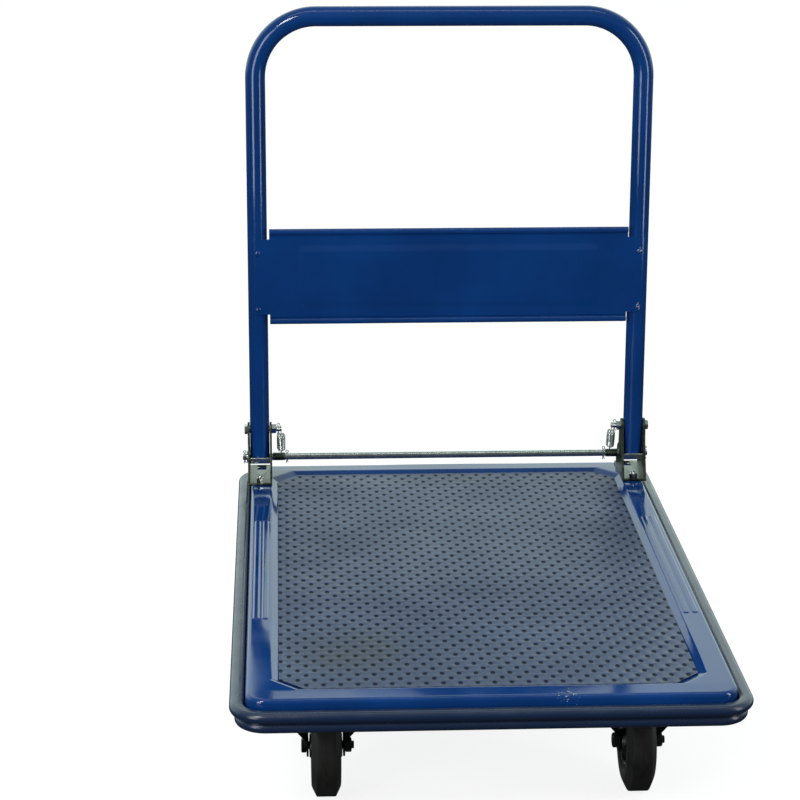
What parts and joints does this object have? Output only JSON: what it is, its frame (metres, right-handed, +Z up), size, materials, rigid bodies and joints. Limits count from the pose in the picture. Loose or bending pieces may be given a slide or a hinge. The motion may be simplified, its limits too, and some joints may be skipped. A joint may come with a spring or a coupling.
{
  "type": "folding platform cart",
  "caption": "Flat steel platform cart with a recessed mat, wraparound bumper, fold-down tube handle with back panel, foot rod, and rigid and swivel casters.",
  "frame": {"origin": "on the floor under the centre of the platform's footprint", "axes": "+Z up, +Y along the platform towards the handle, +X across it to the right seen from the front end"},
  "size_m": [0.61, 0.92, 0.88],
  "materials": {
    "blue_powder_coat": "glossy deep blue powder coat on pressed and bent steel",
    "vinyl_mat": "slate blue-grey ribbed vinyl, satin",
    "pvc_bumper": "soft blue-grey PVC, semi-gloss",
    "zinc_plate": "dull greenish-grey zinc plated sheet steel",
    "bright_zinc": "bright zinc plated fasteners and rod",
    "black_zinc": "black finished pressed steel",
    "wheel_rubber": "black solid rubber, matt",
    "wheel_plastic": "black moulded polypropylene",
    "bush_metal": "sintered bronze bushes"
  },
  "bodies": {
    "deck": {"deck_pan": "blue_powder_coat", "deck_mat": "vinyl_mat", "bumper": "pvc_bumper", "cross_channel_front": "blue_powder_coat", "cross_channel_rear": "blue_powder_coat", "stringers": "blue_powder_coat", "hinge_bracket_left": "zinc_plate", "hinge_bracket_right": "zinc_plate", "stop_bars": "bright_zinc", "hinge_base_bolts": "bright_zinc", "hinge_base_nuts": "bright_zinc", "pivot_bolts": "bright_zinc", "pivot_nuts": "bright_zinc", "pivot_split_pins": "bright_zinc", "spring_left": "bright_zinc", "spring_right": "bright_zinc", "caster_plate_bolts": "bright_zinc", "caster_plate_nuts": "bright_zinc", "rigid_fork_left": "black_zinc", "rigid_fork_right": "black_zinc", "front_axle_bolts": "black_zinc", "front_axle_nuts": "black_zinc", "swivel_plate_left": "black_zinc", "swivel_plate_right": "black_zinc", "king_pins": "bright_zinc"},
    "handle": {"handle_tube": "blue_powder_coat", "back_panel": "blue_powder_coat", "panel_rivets": "blue_powder_coat", "pivot_bushes": "bush_metal"},
    "foot_rod_set": {"foot_rod": "bright_zinc", "rod_sleeves": "zinc_plate", "rod_washers": "bright_zinc", "rod_split_pins": "bright_zinc"},
    "front_wheel_left": {"front_tyre_left": "wheel_rubber", "front_centre_left": "wheel_plastic", "front_bush_left": "bush_metal"},
    "front_wheel_right": {"front_tyre_right": "wheel_rubber", "front_centre_right": "wheel_plastic", "front_bush_right": "bush_metal"},
    "rear_wheel_left": {"rear_tyre_left": "wheel_rubber", "rear_centre_left": "wheel_plastic", "rear_bush_left": "bush_metal"},
    "rear_wheel_right": {"rear_tyre_right": "wheel_rubber", "rear_centre_right": "wheel_plastic", "rear_bush_right": "bush_metal"},
    "swivel_left": {"swivel_fork_left": "black_zinc", "race_balls_left": "bright_zinc", "rear_axle_bolt_left": "black_zinc", "rear_axle_nut_left": "black_zinc"},
    "swivel_right": {"swivel_fork_right": "black_zinc", "race_balls_right": "bright_zinc", "rear_axle_bolt_right": "black_zinc", "rear_axle_nut_right": "black_zinc"}
  },
  "joints": [
    {"name": "handle_fold", "type": "hinge", "parent": "deck", "child": "handle", "pos_m": [0, 0.3765, 0.268], "axis": [1, 0, 0], "range_deg": [0, 96]},
    {"name": "foot_rod_press", "type": "slide", "parent": "deck", "child": "foot_rod_set", "axis": [0, 0, -1], "range_m": [0, 0.01], "stiffness_N_per_m": 1200, "springref_m": -0.01, "deforming": ["spring_left", "spring_right"]},
    {"name": "front_wheel_left_spin", "type": "hinge", "parent": "deck", "child": "front_wheel_left", "pos_m": [-0.191, -0.28, 0.0625], "axis": [1, 0, 0], "continuous": true},
    {"name": "front_wheel_right_spin", "type": "hinge", "parent": "deck", "child": "front_wheel_right", "pos_m": [0.191, -0.28, 0.0625], "axis": [1, 0, 0], "continuous": true},
    {"name": "swivel_left_turn", "type": "hinge", "parent": "deck", "child": "swivel_left", "pos_m": [-0.191, 0.28, 0.14], "axis": [0, 0, 1], "continuous": true},
    {"name": "rear_wheel_left_spin", "type": "hinge", "parent": "swivel_left", "child": "rear_wheel_left", "pos_m": [-0.191, 0.315, 0.0625], "axis": [1, 0, 0], "continuous": true},
    {"name": "swivel_right_turn", "type": "hinge", "parent": "deck", "child": "swivel_right", "pos_m": [0.191, 0.28, 0.14], "axis": [0, 0, 1], "continuous": true},
    {"name": "rear_wheel_right_spin", "type": "hinge", "parent": "swivel_right", "child": "rear_wheel_right", "pos_m": [0.191, 0.315, 0.0625], "axis": [1, 0, 0], "continuous": true}
  ]
}
